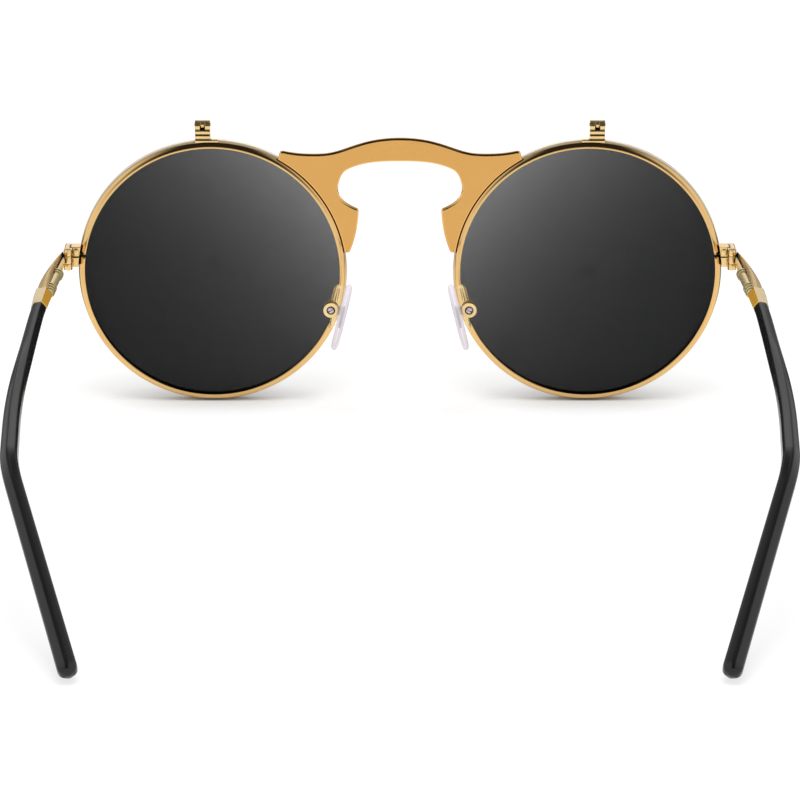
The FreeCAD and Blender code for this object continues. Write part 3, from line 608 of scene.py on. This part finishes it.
sleeve, sleeve_in = geometry_tree("temple_sleeve", (
    ("Front Width", "Float"), ("Back Width", "Float"), ("Tip Length", "Float"), ("Roll", "Float"),
    ("Twist", "Float"), ("Twist Start", "Float"), ("Twist End", "Float"), ("Material", "Material")))
route_line = sleeve.node("GeometryNodeMeshToCurve", {}, {"Mesh": sleeve_in["Geometry"]})
route_bend = sleeve.node("GeometryNodeInputNamedAttribute", {"data_type": "FLOAT"}, {"Name": "bend"})
route_bent = sleeve.node("GeometryNodeFilletCurve", {"mode": "POLY"}, {
    "Curve": route_line, "Count": sleeve_bend_steps, "Radius": route_bend, "Limit Radius": False})
route_even = sleeve.node("GeometryNodeResampleCurve", {"mode": "LENGTH"}, {
    "Curve": route_bent, "Length": sleeve_ring_spacing})
route_upright = sleeve.node("GeometryNodeSetCurveNormal", {"mode": "Z_UP"}, {"Curve": route_even})
along_share = sleeve.node("GeometryNodeSplineParameter", {}, {}, "Factor")
along_length = sleeve.node("GeometryNodeSplineParameter", {}, {}, "Length")
twisted_share = along_length.step(sleeve_in["Twist Start"], sleeve_in["Twist End"])
route_rolled = sleeve.node("GeometryNodeSetCurveTilt", {}, {
    "Curve": route_upright, "Tilt": sleeve_in["Roll"] + sleeve_in["Twist"] * twisted_share})
whole_length = sleeve.node("GeometryNodeSplineLength", {}, {}, "Length")
width_gain = sleeve_in["Back Width"] - sleeve_in["Front Width"]
width_here = sleeve_in["Front Width"] + width_gain * along_share
tip_left = along_length - whole_length + sleeve_in["Tip Length"]
tip_share = sleeve.maths("MAXIMUM", sleeve.maths("DIVIDE", tip_left, sleeve_in["Tip Length"]), 0.0)
tip_square = sleeve.maths("MAXIMUM", 1 - tip_share * tip_share, sleeve_tip_least)
rounding = sleeve.maths("SQRT", tip_square) ** sleeve_tip_power
sleeve_hexagon = sleeve.node("GeometryNodeCurvePrimitiveCircle", {}, {
    "Resolution": sleeve_flats, "Radius": flats_to_corners / 2})
sleeve_section = sleeve.node("GeometryNodeFilletCurve", {"mode": "POLY"}, {
    "Curve": sleeve_hexagon, "Count": sleeve_edge_steps, "Radius": sleeve_edge_share,
    "Limit Radius": False})
sleeve_skin = sleeve.node("GeometryNodeCurveToMesh", {}, {
    "Curve": route_rolled, "Profile Curve": sleeve_section, "Scale": width_here * rounding,
    "Fill Caps": True})
sleeve_smooth = sleeve.node("GeometryNodeSetShadeSmooth", {}, {"Geometry": sleeve_skin})
end_tree(sleeve, sleeve_smooth, sleeve_in["Material"])

for side, sign in sides.items():
    dress(side + "_core_wire", hinge_steel)
    corners = [Vector((sign * x, y, z)) * millimetre for x, y, z in sleeve_route]
    route = bpy.data.meshes.new("sleeve_route")
    route.from_pydata(corners, [(index, index + 1) for index in range(len(corners) - 1)], [])
    bends = route.attributes.new("bend", "FLOAT", "POINT")
    bends.data.foreach_set("value", [radius * millimetre for radius in sleeve_bends])
    sleeve_values = {"Front Width": sleeve_front_width, "Back Width": sleeve_back_width,
                     "Tip Length": sleeve_tip, "Roll": -sign * sleeve_roll,
                     "Twist": -sign * sleeve_twist, "Twist Start": twist_start,
                     "Twist End": twist_end, "Material": sleeve_black}
    cover = grown(side + "_temple_sleeve_gloss", sleeve.tree, sleeve_values, route)
    cover.modifiers.new("even shading", "WEIGHTED_NORMAL")
    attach(cover, side + "_temple_body")
    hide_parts(side + "_temple_sleeve")

# Nose pad arms, boxes and screws
# A hairpin of round wire is brazed to the back of each rim in a drop of solder, and ends in
# a small round box. A slotted screw through the box holds the pad's tongue.
arm_edge = 0.22
pad_screw_edge = 0.07
pad_screw_share = 0.8
pad_screw_turn = math.radians(35)
pad_screw_sunk = 0.08 * millimetre
box_half = 1.2 * millimetre
shade_ring_profile = ((0.1, 0.5), (0.1, 0.84), (0.2, 0.84), (0.2, 0.5))
drop_length = 1.0
drop_width = 0.62
drop_height = 0.5
drop_taper = 0.35
drop_place = (13.27, -0.1, -10.3)
drop_slope = math.radians(66.0)
drop_segments = 24
drop_rings = 16
fine_mark_scale = 2500
fine_mark_detail = 3
fine_dulling = 0.2
arm_gold = gold_plate("arm_gold_plate", (0.96, 0.74, 0.38, 1), (0.88, 0.58, 0.22, 1),
                      polish=0.18, grain=0.08, metal=0.8, reach=0.6, deep=0.52, bare=0.9)


def marked_metal(name, light, dark, roughness, metal):
    """Bare metal with fine marks of working."""
    material, shader, shade = new_finish(name)
    marks = shade.noise(shade.coordinates("Object"), fine_mark_scale, fine_mark_detail)
    shade.feed(shader["Base Color"], shade.mix(marks, light, dark))
    shade.feed(shader["Roughness"], roughness + marks * fine_dulling)
    shader["Metallic"].default_value = metal
    return material


def solder_drop(name, sign):
    """Drop drawn as a ball, tapered towards one end and laid along the rim."""
    form = bmesh.new()
    bmesh.ops.create_uvsphere(form, u_segments=drop_segments, v_segments=drop_rings, radius=1)
    for corner in form.verts:
        slim = 1 - drop_taper * max(corner.co.x, 0)
        corner.co = Vector((corner.co.x * drop_length, corner.co.y * drop_height,
                            corner.co.z * drop_width * slim))
    mesh = smooth_mesh(name, form, arm_gold)
    x, y, z = drop_place
    mesh.transform(Matrix.Rotation(sign * drop_slope, 4, "Y"))
    mesh.transform(Matrix.Scale(millimetre, 4))
    mesh.transform(Matrix.Translation(stand(sign * x, y, z)))
    return new_piece(name, mesh)


screw_steel = marked_metal("pad_screw_steel", (0.85, 0.7, 0.74, 1), (0.45, 0.36, 0.4, 1),
                           roughness=0.15, metal=1.0)
# Near black for the ring under the screw heads: painted shade.
painted_gap_shade_black = marked_metal("painted_gap_shade_ring", (0.012, 0.009, 0.008, 1), (0.04, 0.03, 0.025, 1),
                            roughness=0.45, metal=0.0)
shade_ring_corners = [(far * millimetre, wide * millimetre) for far, wide in shade_ring_profile]
for side, sign in sides.items():
    pivot = Vector(hinge_joints[side + "_pad_swivel"]["pos_m"])
    inward = Matrix.Rotation(-lean, 3, "X") @ Vector((0, 1, 0))
    machined(side + "_nose_pad_arm", arm_edge, arm_gold, "front_frame")
    pad_screw = machined(side + "_nose_pad_screw", pad_screw_edge, screw_steel, "front_frame")
    for corner in pad_screw.data.vertices:
        across = Matrix.Rotation(sign * pad_screw_turn, 3, "Y") @ (corner.co - pivot)
        corner.co = pivot + Vector((across.x * pad_screw_share, across.y + pad_screw_sunk,
                                    across.z * pad_screw_share))
    # A near-black ring under each screw head is painted shade for the gap round the head.
    shade_ring = turned(side + "_pad_screw_shade_ring", shade_ring_corners,
                    along(pivot - inward * box_half, inward), painted_gap_shade_black)
    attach(shade_ring, "front_frame")
    solder = solder_drop(side + "_arm_solder_drop", sign)
    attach(solder, "front_frame")

# Nose pads
# Soft silicone moulded round a metal insert plate, crowned towards the nose. The silicone is
# clear enough to show the insert, with a faint lilac tint.
pad_half_length = 6.7
pad_half_width = 3.5
pad_half_thickness = 0.7
pad_oval_power = 0.8
pad_narrowing = 0.12
pad_edge_power = 12
pad_bow = 0.12
pad_tilt = math.radians(13.7)
pad_turn = math.radians(3.1)
pad_middle = Vector((-2.31, -1.5, -0.7))
pad_rings = 12
pad_steps = 64
pad_weld = 0.0001
pad_light = (0.93, 0.86, 0.91, 1)
pad_dark = (0.88, 0.8, 0.87, 1)
pad_painted_glow_tone = (0.95, 0.9, 0.95, 1)
pad_painted_glow = 0.18
pad_cover = 0.6
pad_rim_cover = 0.15
pad_roughness = 0.28
pad_dulling = 0.15
pad_cloud_scale = 500
pad_cloud_detail = 3
pad_silicone, pad_shader, silicone = new_finish("pad_silicone")
silicone_facing = silicone.node("ShaderNodeLayerWeight", {}, {"Blend": 0.4}, "Facing")
silicone_cloud = silicone.noise(silicone.coordinates("Object"), pad_cloud_scale, pad_cloud_detail)
silicone.feed(pad_shader["Base Color"], silicone.mix(silicone_cloud, pad_light, pad_dark))
silicone.feed(pad_shader["Roughness"], pad_roughness + silicone_cloud * pad_dulling)
silicone.feed(pad_shader["Alpha"], pad_cover + silicone_facing * pad_rim_cover)
# A faint glow of the silicone stands in for light scattered inside it: a painted glow.
pad_shader["Emission Color"].default_value = pad_painted_glow_tone
pad_shader["Emission Strength"].default_value = pad_painted_glow


def pad_corner(face, share, angle):
    """A corner on one face of the pad, at a share of the way out from its middle."""
    rise = pad_half_thickness * (1 - share ** pad_edge_power) ** 0.5
    long = math.copysign(abs(math.cos(angle)) ** pad_oval_power, math.cos(angle)) * share
    wide = math.copysign(abs(math.sin(angle)) ** pad_oval_power, math.sin(angle)) * share
    narrow = 1 - pad_narrowing * long
    bow = pad_bow * (1 - long * long) if face < 0 else 0
    return (face * rise - bow, wide * pad_half_width * narrow, long * pad_half_length)


def pad_form(name, sign):
    """Crowned oval pad, drawn as rings from the middle of each face out to its rim."""
    form = bmesh.new()
    for face in (-1, 1):
        rings = []
        for ring in range(pad_rings + 1):
            share = math.sin(math.pi / 2 * ring / pad_rings)
            count = pad_steps if ring else 1
            rings.append([form.verts.new(pad_corner(face, share, 2 * math.pi * step / pad_steps))
                          for step in range(count)])
        for step in range(pad_steps):
            following = (step + 1) % pad_steps
            form.faces.new((rings[0][0], rings[1][step], rings[1][following]))
            for ring in range(1, pad_rings):
                form.faces.new((rings[ring][step], rings[ring + 1][step],
                                rings[ring + 1][following], rings[ring][following]))
    bmesh.ops.remove_doubles(form, verts=form.verts, dist=pad_weld)
    turn = Matrix.Rotation(-lean, 3, "X") @ Matrix.Rotation(-pad_tilt, 3, "Y")
    spin = Matrix.Rotation(pad_turn, 3, "Z")
    for corner in form.verts:
        placed = turn @ (spin @ corner.co + pad_middle)
        corner.co = Vector((sign * placed.x, placed.y, placed.z)) * millimetre
    bmesh.ops.recalc_face_normals(form, faces=form.faces)
    return smooth_mesh(name, form, pad_silicone)


for side, sign in sides.items():
    dress(side + "_nose_pad_insert", hinge_steel)
    pad_mesh = pad_form(side + "_silicone_pad", sign)
    pad_mesh.transform(Matrix.Translation(Vector(hinge_joints[side + "_pad_swivel"]["pos_m"])))
    pad = new_piece(side + "_silicone_pad", pad_mesh)
    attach(pad, side + "_nose_pad_body")
    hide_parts(side + "_nose_pad")

# Flip hinges
# A leaf stands on each rim and a second leaf on the flip-up rim in front of it. Their
# knuckles turn on one pin, stiff enough to hold the dark lens up or down.
leaf_edge = 0.1
flip_pin_edge = 0.06
# Its settings paint the darkest shade of all into the hinge's grooves and gaps.
tower_gold = gold_plate("tower_gold_plate", (0.92, 0.66, 0.3, 1), (0.8, 0.48, 0.15, 1),
                        polish=0.1, grain=0.08, metal=0.9, reach=0.5, deep=0.7, bare=0.95)
for side in sides:
    machined(side + "_flip_base_leaf", leaf_edge, tower_gold, "front_frame")
    machined(side + "_flip_pin", flip_pin_edge, tower_gold, "front_frame")
    machined(side + "_flip_leaf", leaf_edge, tower_gold, side + "_flip_up_body")

# Flip-up rims and dark lenses
# Slim rims, bright gold in front, carry the dark grey lenses before the clear ones. Their edge
# and back are painted pale and less metallic: a painted sheen. Towards the top and the nose the
# lens lets more of what is behind it show through: a painted reflection.
flip_rim_size = {"radius": 26.2, "wall": 1.1, "back": 1.7, "depth": 1.2, "groove_in": 0.3,
                 "groove_wide": 0.6, "split": 0.0, "bulge": 0.12}
flip_painted_pale = (1.0, 0.91, 0.74, 1)
flip_bright = (0.95, 0.72, 0.38, 1)
flip_worn = (0.86, 0.66, 0.38, 1)
flip_worn_share = 0.3
unpainted_front_band = (0.4, 0.8)
flip_crevice_reach = 0.1
flip_roughness = 0.15
flip_painted_pale_metal = 0.1
flip_bright_metal = 0.75
painted_reflection_least = 0.028
painted_reflection_rise = 49.0
tint_cloud_scale = 80
tint_cloud_detail = 2
tint_roughness = 0.05
lens_from_middle = lens_spacing * millimetre
lens_height = 26.0 * millimetre
dark_plastic, dark_shader, dark = new_finish("dark_lens_plastic")
dark_place = dark.coordinates("Object")
dark_cloud = dark.noise(dark_place, tint_cloud_scale, tint_cloud_detail)
# More of what lies behind shows through towards the top and the nose: a painted reflection.
painted_reflection_spread = lens_from_middle - abs(dark_place.axis("X")) + dark_place.axis("Z") - lens_height
painted_reflection_passed = painted_reflection_least * dark.maths("EXPONENT", painted_reflection_spread * painted_reflection_rise)
dark.feed(dark_shader["Alpha"], 1 - dark.maths("SQRT", painted_reflection_passed))
dark.feed(dark_shader["Roughness"], tint_roughness + dark_cloud * tint_roughness)
dark_shader["Base Color"].default_value = (0.012, 0.0125, 0.013, 1)
dark_shader["Specular IOR Level"].default_value = 0.12
flip_gold, flip_shader, slim = new_finish("flip_gold_plate")
slim_unpainted_front = slim.coordinates("Normal").axis("Y").step(*unpainted_front_band)
slim_cloud = slim.noise(slim.coordinates("Object"), cloud_scale, cloud_detail)
# The edge and back are painted pale, a painted sheen; the front keeps its gold.
slim_painted_sheen = slim.mix(slim_unpainted_front, flip_painted_pale, flip_bright)
slim_worn = slim.mix(slim_cloud.step(*cloud_band) * flip_worn_share, slim_painted_sheen, flip_worn)
# Narrow gaps are darkened towards near black: painted shade.
slim_openness = painted_shade_openness(slim, flip_crevice_reach)
slim.feed(flip_shader["Base Color"], slim.mix(slim_openness, painted_shade_tone, slim_worn))
slim.feed(flip_shader["Roughness"], flip_roughness + slim_cloud * cloud_dulling)
# The painted pale edge and back are also made less metallic.
slim.feed(flip_shader["Metallic"],
          flip_painted_pale_metal + slim_unpainted_front * (flip_bright_metal - flip_painted_pale_metal))
for side, sign in sides.items():
    rolled_rim(side + "_flip_rim", sign, side + "_flip_up_body", flip_gold, flip_rim_size)
    dress(side + "_dark_lens", dark_plastic)

# Floor, studio and camera
# The glasses stand on a white floor under one broad soft lamp. Gloss shows a studio that is
# white ahead and at the sides, dark above and behind. Ahead at each side the floor shows dark
# to glossy rays only, a painted reflection. Its glow is darkened near the rims, a painted
# contact shadow, and raised near the temples, painted light in their shadows.
floor_reach = 6.0
floor_level = -0.26 * millimetre
floor_corners = ((-1, -1), (1, -1), (1, 1), (-1, 1))
painted_shadow_side_band = (-0.02, 0.04)
rims_floor = (0.7, 0.7, 0.7, 1)
rims_floor_glow = 0.43
temples_floor_under_painted_fill = (0.35, 0.35, 0.35, 1)
temples_painted_fill_glow = 0.715
painted_shadow_reach = 8 * millimetre
painted_shadow_samples = 16
painted_shadow_power = 1.5
painted_dark_floor_side_band = (0.075, 0.105)
painted_dark_floor_front_band = (0.06, 0.09)
painted_reflection_dark_tone = (0.12, 0.12, 0.12, 1)
floor_mesh = bpy.data.meshes.new("floor")
floor_mesh.from_pydata([(x * floor_reach, y * floor_reach, floor_level) for x, y in floor_corners], [],
                       [(0, 1, 2, 3)])
floor = new_piece("floor", floor_mesh)
floor_white, floor_shader, ground = new_finish("floor_white")
floor_shader["Roughness"].default_value = 0.9
floor_shader["Specular IOR Level"].default_value = 0.0
floor_shader["Emission Color"].default_value = (1, 1, 1, 1)
ground_glossy = ground.ray("Is Glossy Ray")
ground_seen = ground.maths("MAXIMUM", ground.ray("Is Camera Ray"), ground_glossy)
# Near the rims the floor's glow is darkened where the glasses hem it in: a painted contact shadow.
painted_shadow_openness = ground.node("ShaderNodeAmbientOcclusion", {"samples": painted_shadow_samples},
                          {"Distance": painted_shadow_reach}, "AO")
ground_place = ground.coordinates("Object")
ground_y = ground_place.axis("Y")
# Towards the temples the floor is darker but glows more, painting light into their shadows.
painted_shadow_side = ground_y.step(*painted_shadow_side_band)
ground.feed(floor_shader["Base Color"], ground.mix(painted_shadow_side, temples_floor_under_painted_fill, rims_floor))
ground_glow_with_painted_fill = temples_painted_fill_glow - painted_shadow_side * (temples_painted_fill_glow - rims_floor_glow)
painted_contact_shadow = 1 - painted_shadow_side * (1 - painted_shadow_openness ** painted_shadow_power)
ground.feed(floor_shader["Emission Strength"], ground_seen * (ground_glow_with_painted_fill * painted_contact_shadow))
# Ahead at each side the floor shows dark to glossy rays only, while the camera sees it white: a
# painted reflection.
painted_dark_floor = abs(ground_place.axis("X")).step(*painted_dark_floor_side_band) * ground_y.step(*painted_dark_floor_front_band)
ground_lit = Shade(ground.tree, ground.tree.nodes["Principled BSDF"].outputs[0])
ground_painted_reflection = ground.node("ShaderNodeBsdfDiffuse", {}, {"Color": painted_reflection_dark_tone})
ground_whole = ground.node("ShaderNodeMixShader", {}, {
    0: painted_dark_floor * ground_glossy, 1: ground_lit, 2: ground_painted_reflection})
ground.feed(ground.tree.nodes["Material Output"].inputs["Surface"], ground_whole)
floor_mesh.materials.append(floor_white)

studio_level = 0.55
ahead_band = (0.12, 0.4)
aside_band = (0.3, 0.8)
window_side_band = (0.14, 0.26)
window_side_loss = 0.75
window_top_band = (0.3, 0.65)
window_top_loss = 0.7
back_dark_band = (0.03, 0.18)
back_dark_loss = 0.98
world = bpy.data.worlds.new("studio")
bpy.context.scene.world = world
world.use_nodes = True
studio = Shade(world.node_tree)
studio_way = studio.coordinates("Generated")
studio_x = abs(studio_way.axis("X"))
studio_z = studio_way.axis("Z")
ahead = studio_way.axis("Y").step(*ahead_band)
aside = studio_x.step(*aside_band)
window_across = 1 - window_side_loss * studio_x.step(*window_side_band)
window_up = 1 - window_top_loss * studio_z.step(*window_top_band)
at_back = 1 - back_dark_loss * studio_z.step(*back_dark_band)
studio_deep = window_across * window_up * ahead + at_back * (1 - ahead)
studio_gleam = studio_deep * (1 - aside) + aside
studio_camera = studio.ray("Is Camera Ray")
studio_glossy = studio.ray("Is Glossy Ray")
light_here = studio_level * (1 - studio_glossy) + studio_gleam * studio_glossy
backdrop = world.node_tree.nodes["Background"].inputs
backdrop["Color"].default_value = (1, 1, 1, 1)
studio.feed(backdrop["Strength"], studio_camera + light_here * (1 - studio_camera))

lamp = bpy.data.lights.new("soft_lamp", "AREA")
lamp.shape = "DISK"
lamp.size = 0.6
lamp.energy = 4.0
lamp_stand = new_piece("soft_lamp", lamp)
lamp_stand.location = (0, -0.05, 0.9)
lamp_stand.visible_glossy = False

camera_down = 19.801
camera_lens = bpy.data.cameras.new("camera")
camera_lens.lens = 162.68
camera_lens.sensor_width = 36
camera_lens.clip_start = 0.01
camera = new_piece("camera", camera_lens)
camera.location = (0, -0.60518, 0.24128)
camera.rotation_euler = (math.radians(90 - camera_down), 0, 0)
bpy.context.scene.camera = camera
bpy.context.scene.view_settings.view_transform = "Standard"
